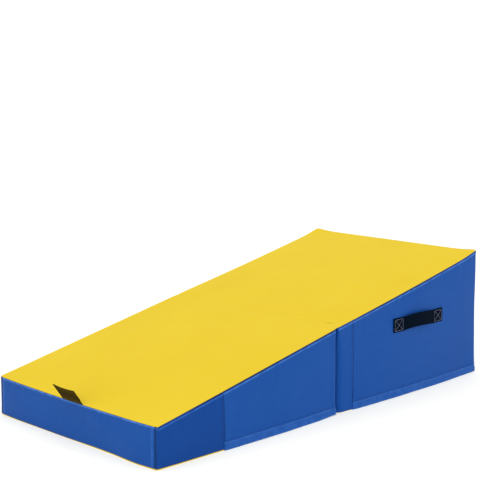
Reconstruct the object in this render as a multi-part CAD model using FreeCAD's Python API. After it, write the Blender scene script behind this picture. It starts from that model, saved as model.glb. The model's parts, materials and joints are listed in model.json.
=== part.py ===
import FreeCAD, Part

# Folding incline wedge mat: two foam wedges in zipped vinyl covers, joined by their shared top sheet.
# The tall block stands still and the thin block folds up and over it, about the line where they meet.
# Frame: X runs up the slope from the thin end to the tall end, Y across the mat, Z up from the floor.

import math
import os

from FreeCAD import Vector

# ---- driving dimensions, in millimetres ----
BLOCK_LENGTH = 609.6  # each block, from the fold line to its outer end
WIDTH = 609.6
TALL_END = 355.6
THIN_END = 101.6
COVER = 0.9  # vinyl-coated fabric
CORNER_RADIUS = 8.0  # upright corners of the cover, outside
TALL_PLANKS = 7  # foam planks in the tall block, glued flat on each other
FOAM_EASE = 1.5  # slack between the foam and the side walls

FLAP_SWING_CLEARANCE = 2.5  # from the thin block's zip flap to the tall block's inner wall
FOLD_LIFT = 2.5  # fold axis above the top sheet
HINGE_STRIP_HALF = 14.0  # the stretch of the top sheet that bends, each side of the fold line

TALL_SEAM = 60.0  # upright seam of the tall block, from the fold line
THIN_SEAM = 203.0  # upright seam of the thin block, from the thin end

ZIP_HEM = 15.0  # lower edge of the walls above a zip
ZIP_HEIGHT = 9.0  # middle of the zip
TAPE_GAP = 1.4  # between the two tapes
COIL_WIDTH = 2.6  # each half of the coil
COIL_HEIGHT = 1.4
COIL_GAP = 0.1
FLAP_TOP = 23.0
FLAP_SEWN = 6.0  # height of the sewn strip
FLAP_STEP = 4.5  # height over which the flap leaves the wall
FLAP_BOTTOM = 1.0
FLAP_CLEARANCE = 1.2  # from the slider to the flap

SLIDER_LENGTH = 12.0
SLIDER_WIDTH = 8.4
SLIDER_PLATE = 0.8
SLIDER_CLEARANCE = 0.2
SLIDER_POST_LENGTH = 2.4
SLIDER_POST_WIDTH = 0.9
SLIDER_PARK = 6.0  # from the upright seam to the parked slider
STOP_LENGTH = 3.0

HANDLE_LENGTH = 216.0
HANDLE_WIDTH = 38.1
HANDLE_CENTRE = 331.0  # from the fold line
HANDLE_HEIGHT = 197.0
HANDLE_PAD = 42.0  # sewn length at each end
WEBBING = 1.6
HANDLE_BOW = 10.0  # clear gap behind the middle of the grip
STITCH_MARGIN = 4.0
THREAD_WIDTH = 0.9
THREAD_HEIGHT = 0.4
BACKING_MARGIN = 10.0
BACKING_THICKNESS = 0.9

TAB_WIDTH = 82.0
TAB_LENGTH = 47.0
TAB_BACKING = 1.2
TAB_HOOK = 1.2
TAB_HOOK_LENGTH = 38.0
TAB_HOOK_MARGIN = 1.0
TAB_REST_ANGLE = 35.0  # lean outward from upright
TAB_ROOT = 3.0  # reach of the sewn root out of the seam
TAB_ROOT_CLEARANCE = 0.1
TAB_PRESS_CLEARANCE = 0.3  # hooks to loops when closed
PATCH_WIDTH = 80.0
PATCH_LENGTH = 46.0
PATCH_THICKNESS = 1.6
PATCH_DROP = 4.0  # patch top below the tall end's edge

BIG = 2000.0  # reach of cutting solids

# ---- worked out from the driving dimensions ----
HALF_WIDTH = WIDTH / 2
MIDDLE_HEIGHT = (TALL_END + THIN_END) / 2
SLOPE = (TALL_END - THIN_END) / (2 * BLOCK_LENGTH)
COVER_DROP = COVER * math.sqrt(1 + SLOPE * SLOPE)  # the cover's thickness, measured upright
PLANK = TALL_END / TALL_PLANKS
FLAP_POCKET = COIL_HEIGHT + SLIDER_CLEARANCE + SLIDER_PLATE + FLAP_CLEARANCE  # room behind the flap
FLAP_REACH = FLAP_POCKET + COVER
FOLD_CLEARANCE = (FLAP_REACH + FLAP_SWING_CLEARANCE) / 2  # from the fold line to each block's inner wall

# Places across the closed tab, outward from the thin end: hooks, backing, and the fold in the webbing.
TAB_HOOK_FACE = PATCH_THICKNESS + TAB_PRESS_CLEARANCE
TAB_BACKING_FACE = TAB_HOOK_FACE + TAB_HOOK
TAB_AXIS_REACH = TAB_BACKING_FACE + TAB_BACKING / 2
TAB_REACH = TAB_AXIS_REACH + TAB_LENGTH * math.sin(math.radians(TAB_REST_ANGLE))

# The fold line stands where the whole footprint, leaning tab and zip flap included, is centred on X = 0.
FOLD_X = (TAB_REACH - FLAP_REACH) / 2
FOLD_Z = MIDDLE_HEIGHT + FOLD_LIFT
THIN_END_X = FOLD_X - BLOCK_LENGTH
TALL_END_X = FOLD_X + BLOCK_LENGTH
TAB_AXIS_X = THIN_END_X - TAB_AXIS_REACH
TAB_AXIS_Z = THIN_END - TAB_BACKING / 2

TALL = {"low_x": FOLD_X + FOLD_CLEARANCE, "high_x": TALL_END_X, "seam_x": FOLD_X + TALL_SEAM}
THIN = {"low_x": THIN_END_X, "high_x": FOLD_X - FOLD_CLEARANCE, "seam_x": THIN_END_X + THIN_SEAM}


# ---- basic solids ----
def box(low, high):
    """Upright box between two corners."""
    size = [b - a for a, b in zip(low, high)]
    return Part.makeBox(*size, Vector(*low))


def surface_height(x):
    """Height of the top sheet's face at x."""
    return MIDDLE_HEIGHT + SLOPE * (x - FOLD_X)


def under_slope(drop):
    """Everything below the sloping face lowered by drop."""
    ends = (FOLD_X - BIG, FOLD_X + BIG)
    top = [Vector(x, -BIG, surface_height(x) - drop) for x in ends]
    bottom = [Vector(x, -BIG, -BIG) for x in reversed(ends)]
    return Part.Face(Part.makePolygon(top + bottom + top[:1])).extrude(Vector(0, 2 * BIG, 0))


def plan_prism(block, outset, low_z, high_z):
    """Prism over a block's plan, grown by outset, with round upright corners."""
    prism = box(
        (block["low_x"] - outset, -HALF_WIDTH - outset, low_z),
        (block["high_x"] + outset, HALF_WIDTH + outset, high_z),
    )
    upright = [e for e in prism.Edges if abs(e.tangentAt(e.FirstParameter).z) > 0.5]
    return prism.makeFillet(CORNER_RADIUS + outset, upright)


def plan_ring(block, inner, outer, low_z, high_z):
    """Ring round a block's plan between two outsets."""
    return plan_prism(block, outer, low_z, high_z).cut(plan_prism(block, inner, low_z, high_z))


def past(x):
    """Everything on the uphill side of x."""
    return box((x, -BIG, -BIG), (BIG, BIG, BIG))


def before(x):
    """Everything on the downhill side of x."""
    return box((-BIG, -BIG, -BIG), (x, BIG, BIG))


def corner_wedge(corner_x, inward):
    """The end panel's side of both 45 degree corner seams at one end of a block."""
    points = [
        Vector(corner_x, -HALF_WIDTH, -BIG),
        Vector(corner_x + inward * HALF_WIDTH, 0, -BIG),
        Vector(corner_x, HALF_WIDTH, -BIG),
        Vector(corner_x - inward * BIG, HALF_WIDTH + BIG, -BIG),
        Vector(corner_x - inward * BIG, -HALF_WIDTH - BIG, -BIG),
    ]
    return Part.Face(Part.makePolygon(points + points[:1])).extrude(Vector(0, 0, 2 * BIG))


def mirrored(shape):
    """The same shape on the other side of the mat."""
    return shape.mirror(Vector(0, 0, 0), Vector(0, 1, 0))


# ---- foam ----
def foam_planks(block):
    """Foam planks of one block, from the floor up, the upper ones cut to the slope."""
    core = plan_prism(block, -COVER - FOAM_EASE, COVER, BIG).common(under_slope(COVER_DROP))
    planks = []
    while COVER + PLANK * len(planks) < core.BoundBox.ZMax:
        low_z = COVER + PLANK * len(planks)
        layer = box((-BIG, -BIG, low_z), (BIG, BIG, low_z + PLANK))
        planks.append(core.common(layer))
    return planks


# ---- cover ----
def top_panel(block, low_x, high_x):
    """The part of the sloping top sheet between two places, in the block's plan."""
    sheet = plan_prism(block, 0, 0, BIG).common(under_slope(0)).cut(under_slope(COVER_DROP))
    return sheet.common(box((low_x, -BIG, -BIG), (high_x, BIG, BIG)))


def hinge_strip():
    """The stretch of the top sheet that bridges the gap between the blocks and bends there."""
    strip = box(
        (FOLD_X - HINGE_STRIP_HALF, -HALF_WIDTH, 0),
        (FOLD_X + HINGE_STRIP_HALF, HALF_WIDTH, BIG),
    )
    return strip.common(under_slope(0)).cut(under_slope(COVER_DROP))


def base_panel(block):
    return plan_prism(block, 0, 0, COVER)


def walls(block):
    """All upright walls of a block, between its base panel and its top sheet."""
    return plan_ring(block, -COVER, 0, COVER, BIG).common(under_slope(COVER_DROP))


def above_zip(wall):
    """A wall without the strip that the zip takes."""
    return wall.cut(box((-BIG, -BIG, -BIG), (BIG, BIG, ZIP_HEM)))


def right_side(wall):
    return wall.common(box((-BIG, -BIG, -BIG), (BIG, 0, BIG)))


def tall_cover():
    """Wall panels of the tall block: a band over its inner end, then two sides and an end above the zip."""
    everything = walls(TALL)
    zipped = above_zip(everything.common(past(TALL["seam_x"])))
    wedge = corner_wedge(TALL["high_x"], -1)
    side = right_side(zipped.cut(wedge))
    return {
        "tall_inner_band": everything.common(before(TALL["seam_x"])),
        "tall_side_panel_right": side,
        "tall_side_panel_left": mirrored(side),
        "tall_end_panel": zipped.common(wedge),
    }


def thin_cover():
    """Wall panels of the thin block: an end and two sides, then a band over its inner end above the zip."""
    everything = walls(THIN)
    plain = everything.common(before(THIN["seam_x"]))
    wedge = corner_wedge(THIN["low_x"], 1)
    side = right_side(plain.cut(wedge))
    return {
        "thin_inner_band": above_zip(everything.common(past(THIN["seam_x"]))),
        "thin_side_panel_right": side,
        "thin_side_panel_left": mirrored(side),
        "thin_end_panel": plain.common(wedge),
    }


# ---- zips: each runs from a block's right seam round its uphill end to its left seam ----
def zip_path(block):
    """The route of a zip round a block's walls, at floor height."""
    start_x, end_x = block["seam_x"], block["high_x"]
    bend_x, bend_y = end_x - CORNER_RADIUS, HALF_WIDTH - CORNER_RADIUS
    middle = CORNER_RADIUS * math.sqrt(0.5)
    right = [
        Vector(start_x, -HALF_WIDTH, 0),
        Vector(bend_x, -HALF_WIDTH, 0),
        Vector(bend_x + middle, -bend_y - middle, 0),
        Vector(end_x, -bend_y, 0),
    ]
    left = [Vector(p.x, -p.y, p.z) for p in reversed(right)]
    edges = [
        Part.LineSegment(right[0], right[1]).toShape(),
        Part.Arc(right[1], right[2], right[3]).toShape(),
        Part.LineSegment(right[3], left[0]).toShape(),
        Part.Arc(left[0], left[1], left[2]).toShape(),
        Part.LineSegment(left[2], left[3]).toShape(),
    ]
    return Part.Wire(edges)


def zip_flap(block):
    """Storm flap over the zip: sewn flat to the wall along its top, then hanging clear of the coil."""
    sewn_z = FLAP_TOP - FLAP_SEWN
    clear_z = sewn_z - FLAP_STEP
    profile = [
        (0, FLAP_TOP),
        (COVER, FLAP_TOP),
        (COVER, sewn_z),
        (FLAP_REACH, clear_z),
        (FLAP_REACH, FLAP_BOTTOM),
        (FLAP_POCKET, FLAP_BOTTOM),
        (FLAP_POCKET, clear_z),
        (0, sewn_z),
    ]
    points = [Vector(block["seam_x"], -HALF_WIDTH - out, z) for out, z in profile]
    outline = Part.makePolygon(points + points[:1])
    return zip_path(block).makePipeShell([outline], True, True)


def zip_tapes(block):
    """Upper and lower tape, in the plane of the wall."""
    zipped = past(block["seam_x"])
    upper = plan_ring(block, -COVER, 0, ZIP_HEIGHT + TAPE_GAP / 2, ZIP_HEM).common(zipped)
    lower = plan_ring(block, -COVER, 0, COVER, ZIP_HEIGHT - TAPE_GAP / 2).common(zipped)
    return upper, lower


def coil_start(block):
    """Where the closed coil begins on the left side, just behind the parked slider's post."""
    return block["seam_x"] + SLIDER_PARK + SLIDER_POST_LENGTH + SLIDER_CLEARANCE


def coil_end(block):
    """Where the coil ends on the right side, at its stop."""
    return block["seam_x"] + SLIDER_PARK + STOP_LENGTH


def zip_coils(block):
    """The two closed halves of the coil, standing on the tapes."""
    left_end = box((-BIG, 0, -BIG), (coil_start(block), BIG, BIG))
    right_end = box((-BIG, -BIG, -BIG), (coil_end(block), 0, BIG))
    half_gap = COIL_GAP / 2
    halves = []
    for low_z in (ZIP_HEIGHT + half_gap, ZIP_HEIGHT - half_gap - COIL_WIDTH):
        ring = plan_ring(block, 0, COIL_HEIGHT, low_z, low_z + COIL_WIDTH)
        halves.append(ring.cut(left_end).cut(right_end))
    return halves


def zip_stop(block):
    """Clamp that ends the coil on the right side."""
    half = COIL_WIDTH + COIL_GAP / 2
    return box(
        (coil_end(block) - STOP_LENGTH, -HALF_WIDTH - COIL_HEIGHT, ZIP_HEIGHT - half),
        (coil_end(block), -HALF_WIDTH, ZIP_HEIGHT + half),
    )


def zip_slider(block):
    """Slider with no pull tab, parked at the left end: two plates, their rims and the post between."""
    low_x = block["seam_x"] + SLIDER_PARK
    high_x = low_x + SLIDER_LENGTH
    low_z, high_z = ZIP_HEIGHT - SLIDER_WIDTH / 2, ZIP_HEIGHT + SLIDER_WIDTH / 2
    inner_face = HALF_WIDTH - COVER - SLIDER_CLEARANCE
    outer_face = HALF_WIDTH + COIL_HEIGHT + SLIDER_CLEARANCE
    rim_face = HALF_WIDTH + SLIDER_CLEARANCE
    post_z = SLIDER_POST_WIDTH / 2
    solids = [
        box((low_x, outer_face, low_z), (high_x, outer_face + SLIDER_PLATE, high_z)),
        box((low_x, inner_face - SLIDER_PLATE, low_z), (high_x, inner_face, high_z)),
        box((low_x, rim_face, low_z), (high_x, outer_face, low_z + SLIDER_PLATE)),
        box((low_x, rim_face, high_z - SLIDER_PLATE), (high_x, outer_face, high_z)),
        box(
            (low_x, inner_face, ZIP_HEIGHT - post_z),
            (low_x + SLIDER_POST_LENGTH, outer_face, ZIP_HEIGHT + post_z),
        ),
    ]
    return solids[0].multiFuse(solids[1:]).removeSplitter()


# ---- carry handles, on the tall block's sides ----
def handle_strap():
    """Right-hand webbing strap, its ends folded under and its grip bowed off the wall."""
    low_x = FOLD_X + HANDLE_CENTRE - HANDLE_LENGTH / 2
    high_x = low_x + HANDLE_LENGTH
    grip = (low_x + HANDLE_PAD, high_x - HANDLE_PAD)
    wall_y = -HALF_WIDTH
    low_z = HANDLE_HEIGHT - HANDLE_WIDTH / 2

    def point(x, out):
        return Vector(x, wall_y - out, low_z)

    middle_x = (low_x + high_x) / 2
    corners = [
        point(grip[1], 2 * WEBBING),
        point(high_x, 2 * WEBBING),
        point(high_x, 0),
        point(grip[1], 0),
        point(grip[1], WEBBING),
    ]
    other_corners = [
        point(grip[0], WEBBING),
        point(grip[0], 0),
        point(low_x, 0),
        point(low_x, 2 * WEBBING),
        point(grip[0], 2 * WEBBING),
    ]
    inner_arc = Part.Arc(corners[-1], point(middle_x, HANDLE_BOW), other_corners[0])
    outer_arc = Part.Arc(other_corners[-1], point(middle_x, HANDLE_BOW + WEBBING), corners[0])
    edges = [Part.LineSegment(a, b).toShape() for a, b in zip(corners, corners[1:])]
    edges.append(inner_arc.toShape())
    edges += [Part.LineSegment(a, b).toShape() for a, b in zip(other_corners, other_corners[1:])]
    edges.append(outer_arc.toShape())
    return Part.Face(Part.Wire(edges)).extrude(Vector(0, 0, HANDLE_WIDTH))


def thread_bar(start, end, wall_y):
    """Straight run of thread between two (x, z) points, on a face at wall_y."""
    run = Vector(end[0] - start[0], 0, end[1] - start[1])
    across = Vector(run.z, 0, -run.x).normalize() * (THREAD_WIDTH / 2)
    a, b = Vector(start[0], wall_y, start[1]), Vector(end[0], wall_y, end[1])
    points = [a + across, b + across, b - across, a - across]
    return Part.Face(Part.makePolygon(points + points[:1])).extrude(Vector(0, -THREAD_HEIGHT, 0))


def handle_stitching():
    """Box and cross of thread on each sewn end of the right-hand strap."""
    half_z = HANDLE_WIDTH / 2 - STITCH_MARGIN
    half_x = HANDLE_PAD / 2 - STITCH_MARGIN
    ends = []
    for side in (-1, 1):
        middle_x = FOLD_X + HANDLE_CENTRE + side * (HANDLE_LENGTH - HANDLE_PAD) / 2
        corners = [
            (middle_x + sx * half_x, HANDLE_HEIGHT + sz * half_z)
            for sx, sz in ((-1, -1), (1, -1), (1, 1), (-1, 1))
        ]
        runs = list(zip(corners, corners[1:] + corners[:1]))
        runs += [(corners[0], corners[2]), (corners[1], corners[3])]
        bars = [thread_bar(a, b, -HALF_WIDTH - 2 * WEBBING) for a, b in runs]
        ends.append(bars[0].multiFuse(bars[1:]).removeSplitter())
    return Part.makeCompound(ends)


def handle_backing():
    """Strip inside the right-hand wall that spreads the strap's pull."""
    half_x = HANDLE_LENGTH / 2 + BACKING_MARGIN
    half_z = HANDLE_WIDTH / 2 + BACKING_MARGIN
    middle_x = FOLD_X + HANDLE_CENTRE
    face_y = -HALF_WIDTH + COVER
    return box(
        (middle_x - half_x, face_y, HANDLE_HEIGHT - half_z),
        (middle_x + half_x, face_y + BACKING_THICKNESS, HANDLE_HEIGHT + half_z),
    )


# ---- closure: a hook tab on the thin end meets a loop patch on the tall end when folded ----
def loop_patch():
    top_z = TALL_END - PATCH_DROP
    return box(
        (TALL_END_X, -PATCH_WIDTH / 2, top_z - PATCH_LENGTH),
        (TALL_END_X + PATCH_THICKNESS, PATCH_WIDTH / 2, top_z),
    )


def tab_root():
    """The sewn root of the tab, where it leaves the seam at the thin end's upper edge."""
    return box(
        (THIN_END_X - TAB_ROOT, -TAB_WIDTH / 2, THIN_END - COVER_DROP - TAB_BACKING),
        (THIN_END_X, TAB_WIDTH / 2, THIN_END - COVER_DROP),
    )


def leaning(shape):
    """A piece of the closed, upright tab, leaned out to where it stands at rest."""
    leaned = shape.copy()
    leaned.rotate(Vector(TAB_AXIS_X, 0, TAB_AXIS_Z), Vector(0, 1, 0), -TAB_REST_ANGLE)
    return leaned


def tab_backing():
    """Webbing of the tab, with a round edge on its bending line."""
    half = TAB_BACKING / 2
    plate = box(
        (TAB_AXIS_X - half, -TAB_WIDTH / 2, TAB_AXIS_Z),
        (TAB_AXIS_X + half, TAB_WIDTH / 2, TAB_AXIS_Z + TAB_LENGTH),
    )
    edge = Part.makeCylinder(
        half,
        TAB_WIDTH,
        Vector(TAB_AXIS_X, -TAB_WIDTH / 2, TAB_AXIS_Z),
        Vector(0, 1, 0),
    )
    return leaning(plate.fuse(edge).removeSplitter())


def tab_hooks():
    """Hook tape on the face of the tab that meets the patch."""
    top_z = TAB_AXIS_Z + TAB_LENGTH - TAB_HOOK_MARGIN
    half_y = TAB_WIDTH / 2 - TAB_HOOK_MARGIN
    low_x = TAB_AXIS_X + TAB_BACKING / 2
    return leaning(box((low_x, -half_y, top_z - TAB_HOOK_LENGTH), (low_x + TAB_HOOK, half_y, top_z)))


# ---- the whole mat ----
def block_nodes(name, block, panels):
    """Foam, sheets, walls and zip of one block, under names that start with its own."""
    nodes = {f"{name}_foam_plank_{i}": plank for i, plank in enumerate(foam_planks(block), 1)}
    nodes.update(panels)
    nodes[f"{name}_base_panel"] = base_panel(block)
    nodes[f"{name}_zip_flap"] = zip_flap(block)
    nodes[f"{name}_zip_tape_upper"], nodes[f"{name}_zip_tape_lower"] = zip_tapes(block)
    nodes[f"{name}_zip_coil_upper"], nodes[f"{name}_zip_coil_lower"] = zip_coils(block)
    nodes[f"{name}_zip_stop"] = zip_stop(block)
    nodes[f"{name}_zip_slider"] = zip_slider(block)
    return nodes


def all_nodes():
    nodes = block_nodes("tall", TALL, tall_cover())
    nodes.update(block_nodes("thin", THIN, thin_cover()))
    nodes["tall_top_panel"] = top_panel(TALL, FOLD_X + HINGE_STRIP_HALF, BIG)
    nodes["thin_top_panel"] = top_panel(THIN, -BIG, FOLD_X - HINGE_STRIP_HALF)
    nodes["fold_hinge_strip"] = hinge_strip()
    handle_pieces = {
        "handle_strap": handle_strap(),
        "handle_stitching": handle_stitching(),
        "handle_backing": handle_backing(),
    }
    for name, shape in handle_pieces.items():
        nodes[f"{name}_right"] = shape
        nodes[f"{name}_left"] = mirrored(shape)
    nodes["closure_loop_patch"] = loop_patch()
    nodes["closure_tab_root"] = tab_root()
    nodes["closure_tab"] = tab_backing()
    nodes["closure_hook_tape"] = tab_hooks()
    return nodes


def main():
    os.makedirs("parts", exist_ok=True)
    for name, shape in all_nodes().items():
        shape.exportStep(os.path.join("parts", name + ".step"))


main()
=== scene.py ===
"""Looks of the folding incline wedge mat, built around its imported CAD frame.

Lengths inside this script are in millimetres; meshes are written in metres.
"""

import json
import math

import bpy
import numpy as np
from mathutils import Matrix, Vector


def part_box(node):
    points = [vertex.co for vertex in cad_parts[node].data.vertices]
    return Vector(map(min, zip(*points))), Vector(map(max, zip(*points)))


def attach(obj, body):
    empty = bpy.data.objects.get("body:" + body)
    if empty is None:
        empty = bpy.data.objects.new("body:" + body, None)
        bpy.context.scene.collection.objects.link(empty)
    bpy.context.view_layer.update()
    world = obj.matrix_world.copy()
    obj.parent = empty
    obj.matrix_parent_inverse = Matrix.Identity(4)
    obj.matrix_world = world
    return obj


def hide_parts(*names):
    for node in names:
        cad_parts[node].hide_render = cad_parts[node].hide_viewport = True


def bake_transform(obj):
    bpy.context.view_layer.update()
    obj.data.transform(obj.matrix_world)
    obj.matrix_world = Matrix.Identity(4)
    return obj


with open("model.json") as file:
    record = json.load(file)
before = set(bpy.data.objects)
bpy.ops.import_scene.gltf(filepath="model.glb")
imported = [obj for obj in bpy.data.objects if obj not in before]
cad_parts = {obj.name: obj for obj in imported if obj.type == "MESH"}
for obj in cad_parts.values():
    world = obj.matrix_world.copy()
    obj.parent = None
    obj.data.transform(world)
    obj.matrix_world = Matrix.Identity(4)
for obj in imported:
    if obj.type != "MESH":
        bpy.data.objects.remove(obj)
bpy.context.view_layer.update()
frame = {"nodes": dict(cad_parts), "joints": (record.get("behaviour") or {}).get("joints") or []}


# ---- sizes, read from the frame ----
def node_box(node):
    low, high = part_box(node)
    return np.array(low) * 1000, np.array(high) * 1000


def joint_place(name):
    found = next(j for j in frame["joints"] if j["name"] == name)
    return np.array(found["pos_m"], float) * 1000


SHEET_TOP = node_box("tall_top_panel")[1]
STRIP_TOP = node_box("fold_hinge_strip")[1]
TALL_LOW, TALL_HIGH = node_box("tall_base_panel")
THIN_LOW, THIN_HIGH = node_box("thin_base_panel")
HALF = TALL_HIGH[1]  # half the width
SLOPE = (SHEET_TOP[2] - STRIP_TOP[2]) / (SHEET_TOP[0] - STRIP_TOP[0])
COVER = TALL_HIGH[2]  # thickness of a sheet
FOLD = joint_place("fold")
TAB_AXIS = joint_place("closure_tab_swing")
PATCH_LOW, PATCH_HIGH = node_box("closure_loop_patch")
STRAP_LOW, STRAP_HIGH = node_box("handle_strap_right")
TAB_LOW, TAB_HIGH = node_box("closure_tab")
TAB_WIDTH = TAB_HIGH[1] - TAB_LOW[1]
TAB_LENGTH = 44.0
TAB_LEAN = math.radians(35)  # outward from upright, at rest
TAB_ROOT = 5.5  # how far the tab reaches below its bending line, into the seam

# ---- shape of the soft cover ----
EDGE_ROUND = 3.4  # rounding of the top edge
BASE_ROUND = 3.6  # rounding of a plain bottom edge
ZIP_FOOT_ROUND = 0.8  # rounding of the bottom edge below a zip
TOP_SEAM = 2.1  # below the top edge
BASE_SEAM = 3.0  # above the floor, where the base sheet is turned up
HEM = 15.0  # lower edge of a wall above a zip
FLAP_LINE = 20.0  # stitch line of the zip flap
STEP = 6.5  # widest spacing of a cover's mesh
BOW_REACH = 60.0  # how far the bow of one face reaches round into the next
CORNER_REACH = 42.0  # how far a corner's lift or lean reaches
RECESS = 2.0  # depth of a wall behind its zip
CREASE_AT = 15.0  # crease beside the fold line, on its uphill side
NEAR_EDGE = [0, 0.9, 1.8, 2.8, 4.0, 5.5, 7.5, 10, 13, 17, 21, 25]  # mesh lines close to an edge
NEAR_SEAM = [-9, -5.5, -3.4, -2, -1, 0, 1, 2, 3.4, 5.5, 9]  # and on both sides of an upright seam
FOOT_ROWS = [0, 0.8, 1.3, 2.0, 2.5, 3.0, 3.5, 4.3, 5.4, 6.8, 8.6, 11, 13.7, 15, 17, 20, 24, 30]
TOP_ROWS = [0, 0.8, 1.5, 2.1, 2.7, 3.5, 4.4, 5.6, 7.2, 9.2, 12, 16, 21, 28]

# Bows, lifts and tucks of each cover: (tall block, thin block)
BOWS = {
    "side_foot": (6.4, 4.4),  # the sides bulge at their foot
    "side_sag": (2.6, 0.0),  # the sides' top edges sag between their corners
    "end_top": (0.0, 1.8),  # the end bulges at its top
    "end_foot": (2.6, 0.4),  # and at its foot
    "end_sag": (0.0, 3.4),  # the end's top edge sags
    "foot_right": (0.0, 6.0),  # the end's foot bulges by the right corner
    "foot_left": (0.0, 1.5),  # and by the left one
    "spread": (2.6, 0.8),  # outer corners lean out
    "peak": (4.2, 0.4),  # outer corners rise at the top
    "lift_end": (0.6, 0.8),  # and at the foot
    "lift_fold": (0.0, 2.4),  # corners by the fold rise at the foot
    "tuck": (0.8, 0.2),  # the sides draw in by the fold
    "fold_roll": (0.0, 1.2),  # rolled edge of the sides by the fold
    "foot_puff": (1.4, 1.2),  # fullness just above the zip
    "corner_seam": (2.2, -6.0),  # place of the outer upright seam, past the corner
    "corner_seam_width": (1.4, 4.0),
}


def top_z(x):
    return SHEET_TOP[2] - SLOPE * (SHEET_TOP[0] - x)


def smooth(low, high, value):
    t = np.clip((value - low) / (high - low), 0, 1)
    return t * t * (3 - 2 * t)


def bump(value, width):
    return np.exp(-((value / width) ** 2))


def round_edge(gap, radius, way):
    """Inset and drop on a rounded edge, gap past its middle: down the wall (way 1) or inward (way -1)."""
    turn = math.pi / 4 * (1 + way * np.clip(gap, 0, radius) / radius)
    return radius * (1 - np.sin(turn)), radius * (1 - np.cos(turn))


def round_corner(gap_a, gap_b, radius):
    """Pulls a square corner in to a round one, the gaps being to its two edges.

    Gives where that applies, the two reaches from the corner's centre, and the outward direction.
    """
    a, b = radius - gap_a, radius - gap_b
    corner = (a > 0) & (b > 0)
    reach = np.maximum(np.hypot(a, b), 1e-6)
    scale = np.where(corner, np.maximum(a, b) / reach, 1)
    return corner, a * scale, b * scale, a / reach, b / reach


def ripple(points, scale, seed, waves=9):
    """Smooth irregular field of about unit size over space."""
    rng = np.random.default_rng(seed)
    total = np.zeros(len(points))
    for _ in range(waves):
        way = rng.normal(size=3)
        way /= np.linalg.norm(way)
        length = scale * rng.uniform(0.7, 1.6)
        total += np.cos(points @ way * (2 * math.pi / length) + rng.uniform(0, 2 * math.pi))
    return total / math.sqrt(waves)


def gather(run, seed):
    """Uneven small puckers along a seam, run being the place along it."""
    a, b, c, d = np.random.default_rng(seed).uniform(0, 2 * math.pi, 4)
    quick_wave = np.sin(run * 2 * math.pi / 19 + a + 1.6 * np.sin(run * 2 * math.pi / 97 + b))
    slow_wave = np.sin(run * 2 * math.pi / 34 + c + 1.2 * np.sin(run * 2 * math.pi / 141 + d))
    strength = 0.55 + 0.45 * np.sin(run * 2 * math.pi / 263 + b + c)
    return (0.6 * quick_wave + 0.7 * slow_wave) * strength


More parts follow.
